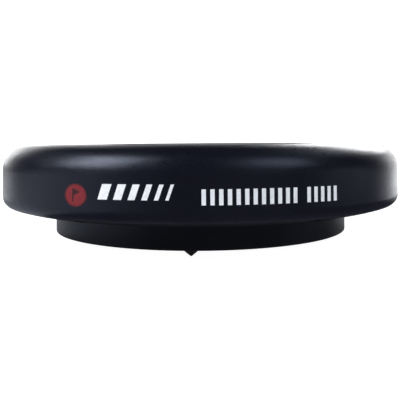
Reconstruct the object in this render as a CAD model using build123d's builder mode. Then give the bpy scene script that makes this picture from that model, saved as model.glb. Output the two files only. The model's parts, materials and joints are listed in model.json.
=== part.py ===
"""Golf practice cup: a low round collar on a smaller drum, with pointed grip studs under it.

Millimetres, +Z up. The origin is on the cup's axis, in the plane of the stud tips that the cup
stands on. The printed face of the collar looks along -Y.

The collar is a hollow moulding, turned upside down to be filled. A steel ballast ring lies in
it between two foam rings, the flange of the cup drum goes on top, and the crowned underside
ring is screwed to the collar's bosses over that flange.
"""

import os
from math import asin, cos, degrees, radians, sin, sqrt

from build123d import *

# Cup bore, the size of a golf hole
bore_diameter = 108.0
bore_lip_radius = 2.0

# Heights over the drum's underside
collar_top_rise = 32.0
crown_rise = 7.8
ring_top_rise = 12.6
wall_foot_rise = 14.0

# Collar
collar_diameter = 150.0
collar_wall = 3.4
collar_roof = 2.6
shoulder_low_radius = 8.5
shoulder_low_turn = 72.6
shoulder_high_radius = 11.9

# Crowned underside: a foot round at the wall, then one wide arc that is level at the drum
foot_round = 3.8

# Skirt inside the collar that centres it on the cup's wall
skirt_wall = 1.6
skirt_depth = 4.0

# Cup drum
cup_wall = 2.4
floor_thickness = 2.6
stud_rim_width = 8.0
flange_thickness = 1.6
drum_edge_round = 0.4

# Underside ring
ring_seat_width = 4.0
ring_skin = 2.8
groove_width = 3.6

# Screws that hold the underside ring, and the collar's bosses for them
screw_count = 6
screw_start_angle = 0.0
screw_shank_diameter = 2.8
screw_length = 12.0
screw_point_length = 2.0
screw_point_radius = 0.3
screw_head_diameter = 5.0
screw_head_height = 1.5
screw_sink = 0.6
screw_recess_width = 0.8
screw_recess_length = 3.2
screw_recess_depth = 1.0
boss_diameter = 6.2
boss_gap = 0.8
boss_web = 1.6
pilot_spare_depth = 1.0

# Gussets between the bosses
gusset_thickness = 1.4
gusset_height = 7.0
gusset_reach = 6.0

# Ballast and the foam rings around it
ballast_width = 5.8
ballast_chamfer = 0.8
foam_thickness = 1.1

# Grip studs, counted from the printed side
front_angle = -90.0
stud_count = 4
stud_turn = -3.4
stud_head_diameter = 6.4
stud_height = 2.7
stud_rim_height = 0.25
stud_tip_radius = 0.25
stud_shank_diameter = 3.0
stud_shank_length = 3.2

# Felt pad on the cup floor
pad_thickness = 1.5

# Clearances
slip_clearance = 0.2
seat_clearance = 0.1
thread_clearance = 0.05
merge_depth = 0.1

# Worked out: heights
drum_bottom = stud_height
collar_top = drum_bottom + collar_top_rise
roof_underside = collar_top - collar_roof
crown_bottom = drum_bottom + crown_rise
ring_top = drum_bottom + ring_top_rise
flange_bottom = ring_top + seat_clearance
flange_top = flange_bottom + flange_thickness
boss_bottom = ring_top + seat_clearance
floor_top = drum_bottom + floor_thickness
pad_top = floor_top + pad_thickness
ballast_bottom = flange_top + foam_thickness
ballast_top = roof_underside - foam_thickness
low_arc_rise = shoulder_low_radius * sin(radians(shoulder_low_turn))
high_arc_rise = shoulder_high_radius * (1 - sin(radians(shoulder_low_turn)))
shoulder_start = collar_top - low_arc_rise - high_arc_rise

# Worked out: radii
bore_radius = bore_diameter / 2
collar_radius = collar_diameter / 2
drum_radius = bore_radius + cup_wall
cavity_radius = collar_radius - collar_wall
ring_inner_radius = drum_radius + slip_clearance
ring_outer_radius = cavity_radius - slip_clearance
skirt_radius = drum_radius + slip_clearance
ballast_inner_radius = skirt_radius + skirt_wall + 2 * slip_clearance
ballast_outer_radius = ballast_inner_radius + ballast_width
boss_circle_radius = ballast_outer_radius + boss_gap + boss_diameter / 2
pad_seat_radius = bore_radius - stud_rim_width
stud_circle_radius = bore_radius - stud_rim_width / 2

# Worked out: the roof's rounded corner inside the collar, and how high a boss meets it
inner_round = shoulder_low_radius - collar_roof
past_flat_roof = max(0, boss_circle_radius - (cavity_radius - inner_round))
boss_top = roof_underside - inner_round + sqrt(inner_round**2 - past_flat_roof**2) + merge_depth

# Worked out: the crown's wide arc, level at the drum and tangent to the foot round
crown_span = collar_radius - foot_round - ring_inner_radius
crown_drop = wall_foot_rise - crown_rise
crown_radius = (crown_span**2 + crown_drop**2 - foot_round**2) / (2 * (crown_drop - foot_round))
crown_turn = degrees(asin(crown_span / (crown_radius - foot_round)))


def crown_angle(radius):
    """Degrees along the crown's arc from its level inner end."""
    return degrees(asin((radius - ring_inner_radius) / crown_radius))


def crown_height(radius):
    """Height of the crowned underside at a radius."""
    return crown_bottom + crown_radius * (1 - cos(radians(crown_angle(radius))))


seam_angle = crown_angle(cavity_radius)
screw_bottom = crown_height(boss_circle_radius) + screw_sink
screw_point_start = screw_bottom + screw_length - screw_point_length

os.makedirs("parts", exist_ok=True)


def save(part, label):
    """Label a finished piece and write it under its node's name."""
    part.label = label
    export_step(part, f"parts/{label}.step")


def ring_profile(inner, outer, bottom, top, mode=Mode.ADD):
    """The cross-section of a plain ring, in the sketch in hand."""
    with Locations((inner, bottom)):
        Rectangle(outer - inner, top - bottom, align=(Align.MIN, Align.MIN), mode=mode)


def cut_countersinks():
    """Clear the screws' conical heads out of the part in hand."""
    with PolarLocations(boss_circle_radius, screw_count, start_angle=screw_start_angle):
        with Locations((0, 0, screw_bottom)):
            Cone(
                screw_head_diameter / 2 + slip_clearance,
                screw_shank_diameter / 2 + slip_clearance,
                screw_head_height,
                align=(Align.CENTER, Align.CENTER, Align.MIN),
                mode=Mode.SUBTRACT,
            )


# Collar: outer skin and centring skirt, then the bosses with their webs, and the gussets
with BuildPart() as top_collar:
    with BuildSketch(Plane.XZ):
        with BuildLine():
            seam_tangent = (cos(radians(seam_angle)), sin(radians(seam_angle)))
            seam = (cavity_radius, crown_height(cavity_radius))
            crown = JernArc(seam, seam_tangent, crown_radius, crown_turn - seam_angle)
            foot = JernArc(crown @ 1, crown % 1, foot_round, 90 - crown_turn)
            wall = Line(foot @ 1, (collar_radius, shoulder_start))
            low = JernArc(wall @ 1, (0, 1), shoulder_low_radius, shoulder_low_turn)
            high = JernArc(low @ 1, low % 1, shoulder_high_radius, 90 - shoulder_low_turn)
            land = Line(high @ 1, (bore_radius + bore_lip_radius, collar_top))
            lip = JernArc(land @ 1, (-1, 0), bore_lip_radius, 90)
            lip_face = Line(lip @ 1, (bore_radius, roof_underside))
            lip_under = Line(lip_face @ 1, (skirt_radius, roof_underside))
            skirt_bottom = roof_underside - skirt_depth
            skirt_in = Line(lip_under @ 1, (skirt_radius, skirt_bottom))
            skirt_end = Line(skirt_in @ 1, (skirt_radius + skirt_wall, skirt_bottom))
            skirt_out = Line(skirt_end @ 1, (skirt_radius + skirt_wall, roof_underside))
            roof = Line(skirt_out @ 1, (cavity_radius - inner_round, roof_underside))
            inner_arc = JernArc(roof @ 1, (1, 0), inner_round, -90)
            Line(inner_arc @ 1, seam)
        make_face()
    revolve(axis=Axis.Z)

    with BuildSketch(Plane.XY.offset(boss_bottom)):
        with PolarLocations(boss_circle_radius, screw_count, start_angle=screw_start_angle):
            Circle(boss_diameter / 2)
    extrude(amount=boss_top - boss_bottom)
    with BuildSketch(Plane.XY.offset(boss_bottom)):
        with PolarLocations(boss_circle_radius, screw_count, start_angle=screw_start_angle):
            web_length = collar_radius - collar_wall / 2 - boss_circle_radius
            Rectangle(web_length, boss_web, align=(Align.MIN, Align.CENTER))
    extrude(amount=shoulder_start - boss_bottom)
    with BuildSketch(Plane.XY.offset(roof_underside - gusset_height)):
        gusset_angle = screw_start_angle + 180 / screw_count
        with PolarLocations(cavity_radius + merge_depth, screw_count, start_angle=gusset_angle):
            Rectangle(gusset_reach, gusset_thickness, align=(Align.MAX, Align.CENTER))
    extrude(amount=gusset_height + merge_depth)
    with BuildSketch(Plane.XY.offset(boss_bottom)):
        with PolarLocations(boss_circle_radius, screw_count, start_angle=screw_start_angle):
            Circle(screw_shank_diameter / 2 + thread_clearance)
    extrude(amount=screw_bottom + screw_length + pilot_spare_depth - boss_bottom, mode=Mode.SUBTRACT)
    cut_countersinks()
save(top_collar.part, "top_collar")


# Cup drum: floor, wall and clamping flange in one moulding, with a thicker rim for the studs
with BuildPart() as cup_drum:
    with BuildSketch(Plane.XZ):
        ring_profile(0, drum_radius, drum_bottom, floor_top)
        ring_profile(pad_seat_radius, drum_radius, drum_bottom, pad_top)
        ring_profile(bore_radius, drum_radius, drum_bottom, roof_underside - seat_clearance)
        ring_profile(bore_radius, ballast_outer_radius, flange_bottom, flange_top)
    revolve(axis=Axis.Z)
    with BuildSketch(Plane.XY.offset(drum_bottom)):
        with PolarLocations(stud_circle_radius, stud_count, start_angle=front_angle + stud_turn):
            Circle(stud_shank_diameter / 2 + thread_clearance)
    extrude(amount=stud_shank_length + seat_clearance, mode=Mode.SUBTRACT)
    underside_circles = cup_drum.edges().filter_by(GeomType.CIRCLE).group_by(Axis.Z)[0]
    fillet(underside_circles.sort_by(SortBy.RADIUS)[-1], radius=drum_edge_round)
save(cup_drum.part, "cup_drum")


# Underside ring: crowned below, flat above with a groove that thins it, holes at the bosses
with BuildPart() as underside_ring:
    with BuildSketch(Plane.XZ):
        with BuildLine():
            ring_angle = crown_angle(ring_outer_radius)
            crown = JernArc((ring_inner_radius, crown_bottom), (1, 0), crown_radius, ring_angle)
            outside = Line(crown @ 1, (ring_outer_radius, ring_top))
            top = Line(outside @ 1, (ring_inner_radius, ring_top))
            Line(top @ 1, crown @ 0)
        make_face()
        groove_inner_radius = ring_inner_radius + ring_seat_width
        groove_outer_radius = groove_inner_radius + groove_width
        groove_bottom = crown_bottom + ring_skin
        ring_profile(groove_inner_radius, groove_outer_radius, groove_bottom, ring_top, Mode.SUBTRACT)
    revolve(axis=Axis.Z)
    with PolarLocations(boss_circle_radius, screw_count, start_angle=screw_start_angle):
        with Locations((0, 0, crown_bottom)):
            Cylinder(
                screw_head_diameter / 2 + slip_clearance,
                screw_bottom - crown_bottom,
                align=(Align.CENTER, Align.CENTER, Align.MIN),
                mode=Mode.SUBTRACT,
            )
            Cylinder(
                screw_shank_diameter / 2 + slip_clearance,
                ring_top - crown_bottom,
                align=(Align.CENTER, Align.CENTER, Align.MIN),
                mode=Mode.SUBTRACT,
            )
    cut_countersinks()
save(underside_ring.part, "underside_ring")


# Countersunk self-tapping screws, one for each boss, heads just under the crown's surface
with BuildPart() as collar_screws:
    with PolarLocations(boss_circle_radius, screw_count, start_angle=screw_start_angle):
        with Locations((0, 0, screw_bottom)):
            Cone(
                screw_head_diameter / 2,
                screw_shank_diameter / 2,
                screw_head_height,
                align=(Align.CENTER, Align.CENTER, Align.MIN),
            )
            Cylinder(
                screw_shank_diameter / 2,
                screw_length - screw_point_length,
                align=(Align.CENTER, Align.CENTER, Align.MIN),
            )
            for recess_angle in (0, 90):
                Box(
                    screw_recess_length,
                    screw_recess_width,
                    screw_recess_depth,
                    rotation=(0, 0, recess_angle),
                    align=(Align.CENTER, Align.CENTER, Align.MIN),
                    mode=Mode.SUBTRACT,
                )
        with Locations((0, 0, screw_point_start)):
            Cone(
                screw_shank_diameter / 2,
                screw_point_radius,
                screw_point_length,
                align=(Align.CENTER, Align.CENTER, Align.MIN),
            )
save(collar_screws.part, "collar_screws")


# Steel ballast ring, and the two foam rings that keep it from rattling
with BuildPart() as ballast_ring:
    with BuildSketch(Plane.XZ):
        ring_profile(ballast_inner_radius, ballast_outer_radius, ballast_bottom, ballast_top)
        chamfer(vertices(), length=ballast_chamfer)
    revolve(axis=Axis.Z)
save(ballast_ring.part, "ballast_ring")

foam_bottoms = {"lower_foam_ring": flange_top, "upper_foam_ring": ballast_top}
for label, bottom in foam_bottoms.items():
    with BuildPart() as foam_ring:
        with BuildSketch(Plane.XZ):
            ring_profile(ballast_inner_radius, ballast_outer_radius, bottom, bottom + foam_thickness)
        revolve(axis=Axis.Z)
    save(foam_ring.part, label)


# Felt pad that quiets the ball, flush in its seat in the cup floor
with BuildPart() as floor_pad:
    with BuildSketch(Plane.XY.offset(floor_top)):
        Circle(pad_seat_radius - slip_clearance)
    extrude(amount=pad_thickness)
save(floor_pad.part, "floor_pad")


# Grip studs: a pointed head under the drum and a shank pressed into the floor's rim
for index in range(stud_count):
    turn = front_angle + stud_turn + index * 360 / stud_count
    x = stud_circle_radius * cos(radians(turn))
    y = stud_circle_radius * sin(radians(turn))
    with BuildPart() as grip_stud:
        with BuildSketch(Plane(origin=(x, y, 0), x_dir=(1, 0, 0), z_dir=(0, -1, 0))):
            with BuildLine():
                Polyline(
                    (0, 0),
                    (stud_tip_radius, 0),
                    (stud_head_diameter / 2, stud_height - stud_rim_height),
                    (stud_head_diameter / 2, stud_height),
                    (stud_shank_diameter / 2, stud_height),
                    (stud_shank_diameter / 2, stud_height + stud_shank_length),
                    (0, stud_height + stud_shank_length),
                    close=True,
                )
            make_face()
        revolve(axis=Axis((x, y, 0), (0, 0, 1)))
    save(grip_stud.part, f"grip_stud_{index + 1}")
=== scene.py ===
"""Looks for the golf practice cup: satin black mouldings, felt, foam, steel and generic print."""

import json
import math
import random

import bmesh
import bpy
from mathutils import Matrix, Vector


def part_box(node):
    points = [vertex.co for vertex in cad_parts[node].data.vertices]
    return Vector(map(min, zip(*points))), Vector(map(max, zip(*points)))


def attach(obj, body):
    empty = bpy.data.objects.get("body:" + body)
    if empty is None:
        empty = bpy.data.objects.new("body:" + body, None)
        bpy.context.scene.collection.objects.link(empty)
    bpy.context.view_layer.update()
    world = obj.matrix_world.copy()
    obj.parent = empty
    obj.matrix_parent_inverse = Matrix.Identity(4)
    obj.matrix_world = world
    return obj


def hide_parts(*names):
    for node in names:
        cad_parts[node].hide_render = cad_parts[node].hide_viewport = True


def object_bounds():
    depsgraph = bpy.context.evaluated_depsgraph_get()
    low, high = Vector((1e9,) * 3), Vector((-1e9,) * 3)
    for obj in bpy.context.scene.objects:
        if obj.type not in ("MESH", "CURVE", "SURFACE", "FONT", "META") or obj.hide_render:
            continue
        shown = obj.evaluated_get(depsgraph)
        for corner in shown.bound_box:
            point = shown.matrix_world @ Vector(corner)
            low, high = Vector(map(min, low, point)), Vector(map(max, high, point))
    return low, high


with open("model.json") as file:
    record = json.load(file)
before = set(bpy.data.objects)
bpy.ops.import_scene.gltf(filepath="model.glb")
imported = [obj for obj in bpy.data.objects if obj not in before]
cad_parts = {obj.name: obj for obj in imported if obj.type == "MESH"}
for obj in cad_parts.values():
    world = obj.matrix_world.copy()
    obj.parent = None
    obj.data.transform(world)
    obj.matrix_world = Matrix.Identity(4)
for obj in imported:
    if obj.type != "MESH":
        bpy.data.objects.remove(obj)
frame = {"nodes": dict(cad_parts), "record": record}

MM = 0.001
cad_low, cad_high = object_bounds()


def mount(name):
    """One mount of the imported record."""
    return next(m for m in frame["record"]["mounts"] if m["name"] == name)


# Sizes read from the frame
collar_low, collar_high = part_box("top_collar")
pad_low, pad_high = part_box("floor_pad")
collar_radius = collar_high[0]
bore_radius = mount("cup_bore")["dims"]["r_mm"] * MM
floor_height = cad_low[2]
drum_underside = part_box("cup_drum")[0][2]

# The drum's outer radius under its flange, which the box of its node doesn't give
CUP_WALL = 2.4 * MM
drum_radius = bore_radius + CUP_WALL


# ---------------------------------------------------------------- node material helpers

# The range that most of a noise's values lie in
NOISE_LOW = 0.3
NOISE_HIGH = 0.7

# Sockets of a colour Mix node by index, because their names repeat for each data type
MIX_SHARE = 0
MIX_FIRST = 6
MIX_SECOND = 7
MIX_RESULT = 2


def set_inputs(node, **values):
    """Set a node's input sockets by name, with _ for each space."""
    for key, value in values.items():
        node.inputs[key.replace("_", " ")].default_value = value


def new_material(name):
    """A node material, with its tree and its Principled shader."""
    material = bpy.data.materials.new(name)
    material.use_nodes = True
    tree = material.node_tree
    shader = tree.nodes["Principled BSDF"]
    return material, tree, shader


def add_node(tree, kind, **values):
    """A node with its input sockets set by name."""
    node = tree.nodes.new(kind)
    set_inputs(node, **values)
    return node


def add_math(tree, operation, *sources):
    """A Math node fed by grey sources and plain numbers."""
    node = add_node(tree, "ShaderNodeMath")
    node.operation = operation
    for socket, source in zip(node.inputs, sources):
        if isinstance(source, (int, float)):
            socket.default_value = source
        else:
            tree.links.new(source, socket)
    return node.outputs["Value"]


def remap(tree, source, **limits):
    """A grey source through a Map Range node, from 0..1 to 0..1 unless limits say other."""
    node = add_node(tree, "ShaderNodeMapRange", **limits)
    tree.links.new(source, node.inputs["Value"])
    return node.outputs["Result"]


def spread(tree, source, low, high):
    """A noise stretched from the range that most of it lies in to low..high."""
    return remap(tree, source, From_Min=NOISE_LOW, From_Max=NOISE_HIGH, To_Min=low, To_Max=high)


def noise(tree, scale, detail=3.0, roughness=0.55, stretch=(1.0, 1.0, 1.0)):
    """Noise in the object's own coordinates; scale is in cells per metre."""
    coordinates = add_node(tree, "ShaderNodeTexCoord")
    mapping = add_node(tree, "ShaderNodeMapping", Scale=stretch)
    texture = add_node(tree, "ShaderNodeTexNoise", Scale=scale, Detail=detail, Roughness=roughness)
    tree.links.new(coordinates.outputs["Object"], mapping.inputs["Vector"])
    tree.links.new(mapping.outputs["Vector"], texture.inputs["Vector"])
    return texture.outputs["Fac"]


def ramp(tree, source, dark, light, low=NOISE_LOW, high=NOISE_HIGH):
    """The colour dark where a grey source is at low, going over to light at high."""
    node = add_node(tree, "ShaderNodeValToRGB")
    for element, position, colour in zip(node.color_ramp.elements, (low, high), (dark, light)):
        element.position = position
        element.color = (*colour, 1.0)
    tree.links.new(source, node.inputs["Fac"])
    return node.outputs["Color"]


def mix_colour(tree, share, first, second):
    """first where share is 0, second where it is 1; second is a plain colour."""
    node = add_node(tree, "ShaderNodeMix")
    node.data_type = "RGBA"
    tree.links.new(share, node.inputs[MIX_SHARE])
    tree.links.new(first, node.inputs[MIX_FIRST])
    node.inputs[MIX_SECOND].default_value = (*second, 1.0)
    return node.outputs[MIX_RESULT]


def band(tree, height, reach):
    """1 at a height in the object, falling to 0 that far above and below it."""
    coordinates = add_node(tree, "ShaderNodeTexCoord")
    parts = add_node(tree, "ShaderNodeSeparateXYZ")
    tree.links.new(coordinates.outputs["Object"], parts.inputs["Vector"])
    away = add_math(tree, "SUBTRACT", parts.outputs["Z"], height)
    return remap(tree, add_math(tree, "ABSOLUTE", away), From_Max=reach, To_Min=1.0, To_Max=0.0)


def bump(tree, shader, layers):
    """Bump from several height sources, each (source, strength, depth in metres), finest last."""
    normal = None
    for source, strength, depth in layers:
        node = add_node(tree, "ShaderNodeBump", Strength=strength, Distance=depth)
        tree.links.new(source, node.inputs["Height"])
        if normal is not None:
            tree.links.new(normal, node.inputs["Normal"])
        normal = node.outputs["Normal"]
    tree.links.new(normal, shader.inputs["Normal"])


# ---------------------------------------------------------------- kinds of material

# How far scuffs and grain move a plastic's roughness either way
SCUFF_ROUGHNESS = 0.03
GRAIN_ROUGHNESS = 0.05

# Rubbed edges: their colour, how much of it shows at most, and how much rougher they get
RUBBED_COLOUR = (0.03, 0.031, 0.036)
RUBBED_SHARE = 0.7
RUBBED_ROUGHNESS = 0.1
CHIPS_LOW = -0.6
CHIPS_HIGH = 0.9

# Reflections on the black plastic lean to blue
PLASTIC_TINT = (0.74, 0.81, 1.0, 1.0)
PLASTIC_SPECULAR = 0.45
PEEL_STRENGTH = 0.05
PEEL_DEPTH = 0.02 * MM
GRAIN_STRENGTH = 1.0

METAL_GRAIN_STRENGTH = 0.4

SOFT_SPECULAR = 0.2
SOFT_SHEEN_ROUGHNESS = 0.6
TONE_STRENGTH = 0.4
FIBRE_STRENGTH = 0.5
CELL_STRENGTH = 0.9

INK_SPECULAR = 0.35
INK_GRAIN_STRENGTH = 0.35
INK_GRAIN_DEPTH = 0.008 * MM


def moulded_plastic(name, dark, light, rough_low, rough_high, grain_depth, edges):
    """Black moulded plastic: spark-eroded grain, flow marks, hairline scuffs and worn edges.

    edges are (height, reach) of the edges that get rubbed.
    """
    material, tree, shader = new_material(name)
    flow = noise(tree, scale=38.0, detail=4.0)
    grain = noise(tree, scale=1500.0, detail=3.5, roughness=0.75)
    orange_peel = noise(tree, scale=420.0, detail=2.0)
    scuffs = noise(tree, scale=170.0, detail=6.0, roughness=0.75, stretch=(1.0, 1.0, 6.0))
    chips = noise(tree, scale=640.0, detail=5.0, roughness=0.75)
    colour = ramp(tree, flow, dark, light)
    roughness = spread(tree, flow, rough_low, rough_high)
    for marks, change in ((scuffs, SCUFF_ROUGHNESS), (grain, GRAIN_ROUGHNESS)):
        roughness = add_math(tree, "ADD", roughness, spread(tree, marks, -change, change))
    for height, reach in edges:
        worn = spread(tree, chips, CHIPS_LOW, CHIPS_HIGH)
        rubbed = add_math(tree, "MULTIPLY", band(tree, height, reach), worn)
        share = remap(tree, rubbed, To_Max=RUBBED_SHARE)
        colour = mix_colour(tree, share, colour, RUBBED_COLOUR)
        lift = remap(tree, rubbed, To_Max=RUBBED_ROUGHNESS)
        roughness = add_math(tree, "ADD", roughness, lift)
    tree.links.new(colour, shader.inputs["Base Color"])
    tree.links.new(roughness, shader.inputs["Roughness"])
    set_inputs(shader, Specular_IOR_Level=PLASTIC_SPECULAR, Specular_Tint=PLASTIC_TINT)
    peel_layer = (orange_peel, PEEL_STRENGTH, PEEL_DEPTH)
    grain_layer = (grain, GRAIN_STRENGTH, grain_depth)
    bump(tree, shader, [peel_layer, grain_layer])
    return material


def metal(name, dark, light, rough_low, rough_high, grain_scale, stretch, grain_depth):
    """Bare or plated steel with drawn or turned grain."""
    material, tree, shader = new_material(name)
    patches = noise(tree, scale=90.0, detail=5.0)
    grain = noise(tree, grain_scale, stretch=stretch)
    tree.links.new(ramp(tree, patches, dark, light), shader.inputs["Base Color"])
    tree.links.new(spread(tree, grain, rough_low, rough_high), shader.inputs["Roughness"])
    set_inputs(shader, Metallic=1.0)
    bump(tree, shader, [(grain, METAL_GRAIN_STRENGTH, grain_depth)])
    return material


def soft_material(name, dark, light, cell_scale, depth, sheen):
    """Foam or felt: fine cells with matted fibres across them, rough, with a little sheen."""
    material, tree, shader = new_material(name)
    tone = noise(tree, scale=240.0, detail=6.0, roughness=0.7)
    cells = noise(tree, cell_scale, detail=4.0, roughness=0.8)
    along = noise(tree, scale=150.0, roughness=0.6, stretch=(1.0, 11.0, 1.0))
    across = noise(tree, scale=150.0, roughness=0.6, stretch=(11.0, 1.3, 1.0))
    fibres = add_math(tree, "MAXIMUM", along, across)
    tone_share = spread(tree, tone, low=0.0, high=0.45)
    fibre_share = spread(tree, fibres, low=-0.15, high=0.5)
    matted = add_math(tree, "ADD", tone_share, fibre_share)
    tree.links.new(ramp(tree, matted, dark, light, low=0.1, high=0.9), shader.inputs["Base Color"])
    tree.links.new(spread(tree, cells, low=0.86, high=0.98), shader.inputs["Roughness"])
    set_inputs(shader, Sheen_Weight=sheen, Sheen_Roughness=SOFT_SHEEN_ROUGHNESS)
    set_inputs(shader, Specular_IOR_Level=SOFT_SPECULAR)
    strengths = ((tone, TONE_STRENGTH), (fibres, FIBRE_STRENGTH), (cells, CELL_STRENGTH))
    bump(tree, shader, [(source, strength, depth) for source, strength in strengths])
    return material


def ink(name, thin, full):
    """Pad-printed ink: nearly even, a little thin in places, over the plastic's grain."""
    material, tree, shader = new_material(name)
    cover = noise(tree, scale=900.0, detail=5.0, roughness=0.7)
    grain = noise(tree, scale=2600.0, detail=2.0, roughness=0.7)
    tree.links.new(ramp(tree, cover, thin, full, high=0.55), shader.inputs["Base Color"])
    tree.links.new(spread(tree, cover, low=0.5, high=0.62), shader.inputs["Roughness"])
    set_inputs(shader, Specular_IOR_Level=INK_SPECULAR)
    bump(tree, shader, [(grain, INK_GRAIN_STRENGTH, INK_GRAIN_DEPTH)])
    return material


# ---------------------------------------------------------------- materials

# How far from its edge each moulding is rubbed
FOOT_WEAR = 1.6 * MM
LAND_WEAR = 0.25 * MM
DRUM_WEAR = 0.7 * MM
TIP_WEAR = 0.8 * MM

collar_black = moulded_plastic(
    "collar_black", dark=(0.0036, 0.0038, 0.0084), light=(0.0062, 0.0064, 0.0124),
    rough_low=0.29, rough_high=0.37, grain_depth=0.04 * MM,
    edges=[(collar_low[2], FOOT_WEAR), (collar_high[2], LAND_WEAR)],
)
drum_black = moulded_plastic(
    "drum_black", dark=(0.0026, 0.0026, 0.0044), light=(0.005, 0.005, 0.0075),
    rough_low=0.38, rough_high=0.48, grain_depth=0.016 * MM,
    edges=[(drum_underside, DRUM_WEAR)],
)
stud_black = moulded_plastic(
    "stud_black", dark=(0.003, 0.003, 0.0045), light=(0.006, 0.006, 0.008),
    rough_low=0.34, rough_high=0.46, grain_depth=0.01 * MM,
    edges=[(floor_height, TIP_WEAR)],
)
zinc_plate = metal(
    "zinc_plate", dark=(0.42, 0.43, 0.45), light=(0.62, 0.63, 0.66),
    rough_low=0.22, rough_high=0.4,
    grain_scale=1800.0, stretch=(1.0, 1.0, 4.0), grain_depth=0.01 * MM,
)
ballast_iron = metal(
    "ballast_iron", dark=(0.10, 0.095, 0.09), light=(0.2, 0.19, 0.18),
    rough_low=0.5, rough_high=0.75,
    grain_scale=900.0, stretch=(1.0, 1.0, 8.0), grain_depth=0.05 * MM,
)
foam_grey = soft_material(
    "foam_grey", dark=(0.035, 0.035, 0.04), light=(0.075, 0.075, 0.082),
    cell_scale=2200.0, depth=0.12 * MM, sheen=0.15,
)
felt_dark = soft_material(
    "felt_dark", dark=(0.009, 0.0105, 0.0105), light=(0.05, 0.055, 0.054),
    cell_scale=1500.0, depth=0.2 * MM, sheen=0.4,
)
ink_red = ink("ink_red", thin=(0.15, 0.007, 0.012), full=(0.21, 0.010, 0.017))
ink_deep_red = ink("ink_deep_red", thin=(0.075, 0.005, 0.009), full=(0.11, 0.007, 0.012))
ink_dark_red = ink("ink_dark_red", thin=(0.03, 0.004, 0.008), full=(0.05, 0.006, 0.01))
ink_white = ink("ink_white", thin=(0.72, 0.73, 0.76), full=(0.86, 0.87, 0.9))
ink_grey = ink("ink_grey", thin=(0.72, 0.75, 0.82), full=(0.84, 0.87, 0.92))

# The nodes that aren't named here are the four studs
node_materials = {
    "top_collar": collar_black,
    "cup_drum": drum_black,
    "underside_ring": drum_black,
    "collar_screws": zinc_plate,
    "ballast_ring": ballast_iron,
    "lower_foam_ring": foam_grey,
    "upper_foam_ring": foam_grey,
    "floor_pad": felt_dark,
}
for node, obj in frame["nodes"].items():
    for material_slot in obj.material_slots:
        material_slot.material = node_materials.get(node, stud_black)


# ---------------------------------------------------------------- mesh helpers

def finish_mesh(name, builder, material, smooth=True):
    """Turn a bmesh into a piece that rides on the cup's one body."""
    mesh = bpy.data.meshes.new(name)
    bmesh.ops.recalc_face_normals(builder, faces=builder.faces)
    builder.to_mesh(mesh)
    builder.free()
    for polygon in mesh.polygons:
        polygon.use_smooth = smooth
    piece = bpy.data.objects.new(name, mesh)
    bpy.context.scene.collection.objects.link(piece)
    mesh.materials.append(material)
    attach(piece, "root")
    return piece


def turns(count):
    """The angles of that many equal steps round a circle."""
    return [2 * math.pi * k / count for k in range(count)]


def add_ring(builder, radius, height, count):
    """A level ring of vertices about the cup's axis."""
    points = [(radius * math.cos(a), radius * math.sin(a), height) for a in turns(count)]
    return [builder.verts.new(point) for point in points]


def join_rings(builder, first, second):
    """A band of faces from one ring of vertices to the next."""
    for k in range(len(first)):
        n = (k + 1) % len(first)
        builder.faces.new((first[k], first[n], second[n], second[k]))


# ---------------------------------------------------------------- print on the collar's wall

INK_PROUD = 0.02 * MM
OVERPRINT_PROUD = 2 * INK_PROUD
INK_SUNK = 0.06 * MM
INK_STEP = 0.4 * MM
BAR_ROWS = 5
DISC_SIDES = 72
DISC_CENTRE = 0.02 * MM


def on_wall(across, height, lift):
    """A point on the collar's wall: across is the arc length from the front, to the right."""
    angle = across / collar_radius - math.pi / 2
    radius = collar_radius + lift
    return Vector((radius * math.cos(angle), radius * math.sin(angle), height))


def add_film(builder, rows, closed, proud):
    """A closed ink film from rows of (across, height) points. closed joins each row's ends."""
    front = [[builder.verts.new(on_wall(u, v, proud)) for u, v in row] for row in rows]
    back = [[builder.verts.new(on_wall(u, v, -INK_SUNK)) for u, v in row] for row in rows]
    count = len(rows[0])
    spans = count if closed else count - 1
    for r in range(len(rows) - 1):
        for k in range(spans):
            n = (k + 1) % count
            builder.faces.new((front[r][k], front[r][n], front[r + 1][n], front[r + 1][k]))
            builder.faces.new((back[r][k], back[r + 1][k], back[r + 1][n], back[r][n]))
    for r in (0, len(rows) - 1):
        for k in range(spans):
            n = (k + 1) % count
            builder.faces.new((front[r][k], back[r][k], back[r][n], front[r][n]))
    if not closed:
        for k in (0, count - 1):
            for r in range(len(rows) - 1):
                builder.faces.new((front[r][k], front[r + 1][k], back[r + 1][k], back[r][k]))


def bar_rows(left, bottom, width, height, slant=0.0):
    """Rows of points for a bar; slant is how far its top leans to the right."""
    columns = max(2, math.ceil(width / INK_STEP) + 1)
    rows = []
    for r in range(BAR_ROWS):
        share = r / (BAR_ROWS - 1)
        start = left + slant * share
        level = bottom + height * share
        rows.append([(start + width * c / (columns - 1), level) for c in range(columns)])
    return rows


def disc_rows(across, height, radius, hole, widen):
    """Rows of points for a disc with a hole of that radius; widen stretches it sideways."""
    steps = max(3, math.ceil((radius - hole) / INK_STEP) + 1)
    inner = max(hole, DISC_CENTRE)
    rows = []
    for r in range(steps):
        reach = inner + (radius - inner) * r / (steps - 1)
        row = []
        for a in turns(DISC_SIDES):
            row.append((across + widen * reach * math.cos(a), height + reach * math.sin(a)))
        rows.append(row)
    return rows


def printed_piece(name, films, material, closed, proud=INK_PROUD):
    """One piece of print: films is a list of rows of points, all closed or all open."""
    builder = bmesh.new()
    for rows in films:
        add_film(builder, rows, closed, proud)
    finish_mesh(name, builder, material, smooth=False)


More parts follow.
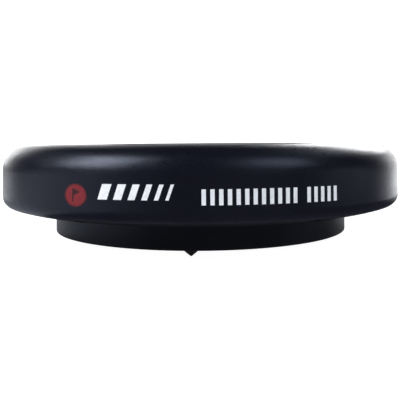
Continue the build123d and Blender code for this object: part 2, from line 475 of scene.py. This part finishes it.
# Heights of the print over the drum's underside, and arc lengths from the front
ROUNDEL_WIDEN = 1.2
roundel_across = -36.0 * MM
roundel_height = drum_underside + 17.8 * MM
roundel_radius = 3.2 * MM
roundel = disc_rows(roundel_across, roundel_height, roundel_radius, hole=0.0, widen=ROUNDEL_WIDEN)
printed_piece("printed_roundel", [roundel], ink_red, closed=True)

# A flag on its pole, darker on the roundel
PENNANT_ROWS = 5
PENNANT_COLUMNS = 6
pole_left = roundel_across - 1.1 * MM
pole_foot = roundel_height - 1.9 * MM
pole_width = 0.45 * MM
pole_height = 3.8 * MM
pennant_left = pole_left + pole_width
pennant_height = 1.9 * MM
pennant_reach = 2.3 * MM
pennant_tip = 0.05 * MM
pennant = []
for row in range(PENNANT_ROWS):
    share = row / (PENNANT_ROWS - 1)
    reach = pennant_reach * (1 - abs(2 * share - 1)) + pennant_tip
    level = pole_foot + pole_height - pennant_height * (1 - share)
    steps = [reach * column / (PENNANT_COLUMNS - 1) for column in range(PENNANT_COLUMNS)]
    pennant.append([(pennant_left + step, level) for step in steps])
pole = bar_rows(pole_left, pole_foot, pole_width, pole_height)
printed_piece("printed_flag", [pennant, pole], ink_dark_red, closed=False, proud=OVERPRINT_PROUD)

# The roundel's darker border, which reaches just over its edge
border_overlap = 0.03 * MM
border_width = 0.4 * MM
border_radius = roundel_radius + border_overlap
border_hole = border_radius - border_width
border = disc_rows(roundel_across, roundel_height, border_radius, border_hole, ROUNDEL_WIDEN)
printed_piece("printed_border", [border], ink_deep_red, closed=True, proud=OVERPRINT_PROUD)

# Slanted stripes that get narrower
stripe_left = -28.6 * MM
stripe_bottom = drum_underside + 16.9 * MM
stripe_height = 4.2 * MM
stripe_slant = 1.5 * MM
stripe_gap = 1.85 * MM
stripes = []
for width in (2.9 * MM, 2.4 * MM, 2.0 * MM, 1.6 * MM, 1.2 * MM, 0.9 * MM):
    stripes.append(bar_rows(stripe_left, stripe_bottom, width, stripe_height, stripe_slant))
    stripe_left += width + stripe_gap
printed_piece("printed_stripes", stripes, ink_white, closed=False)

# Two groups of upright ticks: the first tick's left edge, and how many
TICK_GROUPS = ((0.3 * MM, 12), (29.9 * MM, 5))
tick_bottom = drum_underside + 15.6 * MM
tick_height = 4.2 * MM
tick_width = 1.15 * MM
tick_pitch = 2.3 * MM
ticks = []
for first, count in TICK_GROUPS:
    for index in range(count):
        ticks.append(bar_rows(first + index * tick_pitch, tick_bottom, tick_width, tick_height))
printed_piece("printed_ticks", ticks, ink_grey, closed=False)


# ---------------------------------------------------------------- turned details

FOAM_SEGMENTS = 180
FOAM_CORNER = 0.3 * MM
CORNER_STEPS = 5

# The gate nub's outline from its tip out, as (radius, depth under its top) in mm
GATE_OUTLINE_MM = ((0.15, 0.4), (0.5, 0.36), (0.7, 0.2), (0.9, 0.12), (2.2, 0.08), (2.2, 0.0))
GATE_SUNK = 0.02 * MM
GATE_SEGMENTS = 64


def lathe(name, profile, material, segments, closed):
    """A piece turned about the cup's axis from (radius, height) points.

    closed joins the last point to the first; otherwise each end gets a flat face.
    """
    builder = bmesh.new()
    rings = [add_ring(builder, radius, height, segments) for radius, height in profile]
    pairs = len(rings) if closed else len(rings) - 1
    for k in range(pairs):
        join_rings(builder, rings[k], rings[(k + 1) % len(rings)])
    if not closed:
        builder.faces.new(rings[0])
        builder.faces.new(list(reversed(rings[-1])))
    return finish_mesh(name, builder, material)


def rounded_section(inner, outer, bottom, top, corner):
    """A rectangle of (radius, height) points with rounded corners."""
    centres = [
        (outer - corner, top - corner, 0), (inner + corner, top - corner, 90),
        (inner + corner, bottom + corner, 180), (outer - corner, bottom + corner, 270),
    ]
    points = []
    for radius, height, start in centres:
        for k in range(CORNER_STEPS + 1):
            angle = math.radians(start + 90 * k / CORNER_STEPS)
            points.append((radius + corner * math.cos(angle), height + corner * math.sin(angle)))
    return points


def foam_ring(node):
    """A foam ring with cut edges that have rounded over, in place of the CAD node."""
    low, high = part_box(node)
    inner = min(v.co.xy.length for v in frame["nodes"][node].data.vertices)
    section = rounded_section(inner, high[0], low[2], high[2], FOAM_CORNER)
    ring = lathe(node + "_foam", section, foam_grey, FOAM_SEGMENTS, closed=True)
    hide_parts(node)


foam_ring("lower_foam_ring")
foam_ring("upper_foam_ring")

# The nub that the injection gate leaves under the drum
gate_top = drum_underside + GATE_SUNK
gate_profile = [(radius * MM, gate_top - depth * MM) for radius, depth in GATE_OUTLINE_MM]
lathe("gate_nub", gate_profile, drum_black, GATE_SEGMENTS, closed=False)


# ---------------------------------------------------------------- felt pad on the cup floor

FELT_EDGE = 0.45 * MM
FELT_EDGE_STEPS = 6
FELT_RINGS = 70
FELT_SEGMENTS = 220
FELT_CENTRE_DROP = 0.1 * MM

# The nap is a sum of waves: their number, the range of their frequencies in radians per metre,
# the range of their headings and phases, and how far down the felt's top lies on average
NAP_SEED = 7
NAP_WAVES = 14
NAP_FREQUENCIES = (60, 420)
NAP_TURN = (0, 6.28)
NAP_DEPTH = 0.12 * MM


def felt_disc():
    """The felt pad as a soft-edged disc with a gently uneven nap."""
    source = random.Random(NAP_SEED)
    waves = []
    for _ in range(NAP_WAVES):
        frequency = source.uniform(*NAP_FREQUENCIES)
        heading = source.uniform(*NAP_TURN)
        phase = source.uniform(*NAP_TURN)
        waves.append((frequency, heading, phase))

    def nap(x, y):
        total = 0.0
        for frequency, heading, phase in waves:
            total += math.sin(frequency * (x * math.cos(heading) + y * math.sin(heading)) + phase)
        return total / len(waves)

    flat_radius = pad_high[0] - FELT_EDGE
    edge_height = pad_high[2] - FELT_EDGE
    outline = [(flat_radius * k / FELT_RINGS, pad_high[2]) for k in range(1, FELT_RINGS + 1)]
    for k in range(1, FELT_EDGE_STEPS + 1):
        a = math.pi / 2 * k / FELT_EDGE_STEPS
        outline.append((flat_radius + FELT_EDGE * math.sin(a), edge_height + FELT_EDGE * math.cos(a)))
    outline.append((pad_high[0], pad_low[2]))

    builder = bmesh.new()
    centre = builder.verts.new((0, 0, pad_high[2] - FELT_CENTRE_DROP))
    previous = None
    for radius, height in outline:
        current = []
        for a in turns(FELT_SEGMENTS):
            x = radius * math.cos(a)
            y = radius * math.sin(a)
            drop = NAP_DEPTH * (1 + nap(x, y)) if height > pad_low[2] else 0.0
            current.append(builder.verts.new((x, y, height - drop)))
        if previous is None:
            for k in range(FELT_SEGMENTS):
                builder.faces.new((centre, current[k], current[(k + 1) % FELT_SEGMENTS]))
        else:
            join_rings(builder, previous, current)
        previous = current
    builder.faces.new(list(reversed(previous)))
    return finish_mesh("felt_pad", builder, felt_dark)


felt = felt_disc()
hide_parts("floor_pad")


# ---------------------------------------------------------------- studio helpers

WHITE = (1.0, 1.0, 1.0)
PAINT_ROUGHNESS = 0.9
WALL_SIDES = 96

# The point that the softboxes are aimed at
AIM = (0.0, 0.0, 0.02)


def stage_piece(name, builder, grey, emission):
    """A plain pale surface of the studio, not part of the object."""
    mesh = bpy.data.meshes.new(name)
    builder.to_mesh(mesh)
    builder.free()
    surface = bpy.data.objects.new(name, mesh)
    bpy.context.scene.collection.objects.link(surface)
    material, _, shader = new_material(name + "_paint")
    set_inputs(shader, Base_Color=(grey, grey, grey, 1.0), Roughness=PAINT_ROUGHNESS)
    set_inputs(shader, Specular_IOR_Level=0.0)
    set_inputs(shader, Emission_Color=(*WHITE, 1.0), Emission_Strength=emission)
    mesh.materials.append(material)
    return surface


def flat_floor(name, reach, grey, emission):
    """A square floor under the cup, that far each way."""
    builder = bmesh.new()
    corners = [(x * reach, y * reach) for x, y in ((-1, -1), (1, -1), (1, 1), (-1, 1))]
    builder.faces.new([builder.verts.new((x, y, floor_height)) for x, y in corners])
    return stage_piece(name, builder, grey, emission)


def round_wall(name, radius, height, grey, emission):
    """A wall all round the studio."""
    builder = bmesh.new()
    foot = add_ring(builder, radius, floor_height, WALL_SIDES)
    head = add_ring(builder, radius, height, WALL_SIDES)
    join_rings(builder, foot, head)
    return stage_piece(name, builder, grey, emission)


def area_light(name, position, target, width, height, power, colour):
    """A rectangular softbox aimed at a point."""
    data = bpy.data.lights.new(name, "AREA")
    data.shape = "RECTANGLE"
    data.size = width
    data.size_y = height
    data.energy = power
    data.color = colour
    lamp = bpy.data.objects.new(name, data)
    bpy.context.scene.collection.objects.link(lamp)
    lamp.location = position
    aim = Vector(target) - Vector(position)
    lamp.rotation_euler = aim.to_track_quat("-Z", "Y").to_euler()
    return lamp


def around(azimuth, elevation, distance):
    """A point round the cup. Azimuth 0 is behind it (+Y), positive to the right, in degrees."""
    a = math.radians(azimuth)
    e = math.radians(elevation)
    flat = distance * math.cos(e)
    return (flat * math.sin(a), flat * math.cos(a), AIM[2] + distance * math.sin(e))


# ---------------------------------------------------------------- floor, backdrop, lights

# The floor stays out of mirror reflections, so that it doesn't wash out the black plastic
floor = flat_floor("floor", reach=4.0, grey=0.35, emission=0.985)
floor.visible_glossy = False

# The backdrop is there for the camera alone, and lights nothing
backdrop = round_wall("backdrop", radius=3.0, height=6.0, grey=0.9, emission=1.0)
backdrop.visible_glossy = False
backdrop.visible_diffuse = False
backdrop.visible_shadow = False

# Softboxes: name, azimuth, elevation, width, height, power, colour
COOL = (0.84, 0.9, 1.0)
PALE = (0.93, 0.96, 1.0)
SOFTBOX_DISTANCE = 0.9
softboxes = (
    ("key_left", -117, 39, 0.42, 0.52, 6.2, PALE),
    ("side_left", -106, 1.5, 0.9, 0.14, 0.24, COOL),
    ("fill_right", 134, 36, 0.36, 0.4, 1.35, COOL),
    ("side_right", 100, 1.5, 0.6, 0.14, 0.18, COOL),
    ("high_right", 78, 50, 0.36, 0.36, 0.22, COOL),
    ("back_right", 34, 27, 0.44, 0.32, 4.7, WHITE),
    ("back_left", -29, 12, 0.5, 0.3, 1.5, WHITE),
    ("back_middle", 0, 34, 0.8, 0.24, 0.85, WHITE),
    ("rim_left", -43, 2, 0.4, 0.26, 0.25, WHITE),
    ("rim_right", 43, 4, 0.36, 0.3, 0.9, WHITE),
)
for name, azimuth, elevation, width, height, power, colour in softboxes:
    place = around(azimuth, elevation, SOFTBOX_DISTANCE)
    area_light(name, place, AIM, width, height, power, colour)

# Glowing cards on the floor beside the drum, which the collar's foot and the drum's edges mirror:
# name, side, width, depth, how far behind the axis, power
CARD_GAP = 2 * MM
CARD_LIFT = 1 * MM
CARD_AIM_HEIGHT = 1.0
cards = (
    ("card_left", -1, 0.48, 0.5, 0.06, 0.36),
    ("card_right", 1, 0.3, 0.33, 0.19, 0.24),
)
for name, side, width, depth, behind, power in cards:
    across = side * (drum_radius + CARD_GAP + width / 2)
    place = (across, behind, floor_height + CARD_LIFT)
    card = area_light(name, place, (across, behind, CARD_AIM_HEIGHT), width, depth, power, COOL)
    card.visible_camera = False

WORLD_COLOUR = (0.8, 0.84, 1.0, 1.0)
WORLD_STRENGTH = 0.05
world = bpy.data.worlds.new("studio")
world.use_nodes = True
set_inputs(world.node_tree.nodes["Background"], Color=WORLD_COLOUR, Strength=WORLD_STRENGTH)
bpy.context.scene.world = world
bpy.context.scene.view_settings.view_transform = "Standard"


# ---------------------------------------------------------------- camera

# It stands close and looks level, with its horizon just under the collar's top. The distance is
# in collar radii; the focal length and the horizon's rise over the middle are in picture widths.
EYE_DISTANCE = 2.78
EYE_BELOW_TOP = 1.875 * MM
FOCAL_WIDTHS = 1.28075
HORIZON_RISE = 0.1255
ROLL = math.radians(0.43)
SENSOR_WIDTH = 36.0
NEAREST_SEEN = 5 * MM

camera_data = bpy.data.cameras.new("camera")
camera_data.sensor_width = SENSOR_WIDTH
camera_data.lens = SENSOR_WIDTH * FOCAL_WIDTHS
camera_data.shift_y = -HORIZON_RISE
camera_data.clip_start = NEAREST_SEEN
camera = bpy.data.objects.new("camera", camera_data)
bpy.context.scene.collection.objects.link(camera)
camera.location = (0.0, -EYE_DISTANCE * collar_radius, collar_high[2] - EYE_BELOW_TOP)
camera.rotation_euler = (math.pi / 2, ROLL, 0.0)
bpy.context.scene.camera = camera
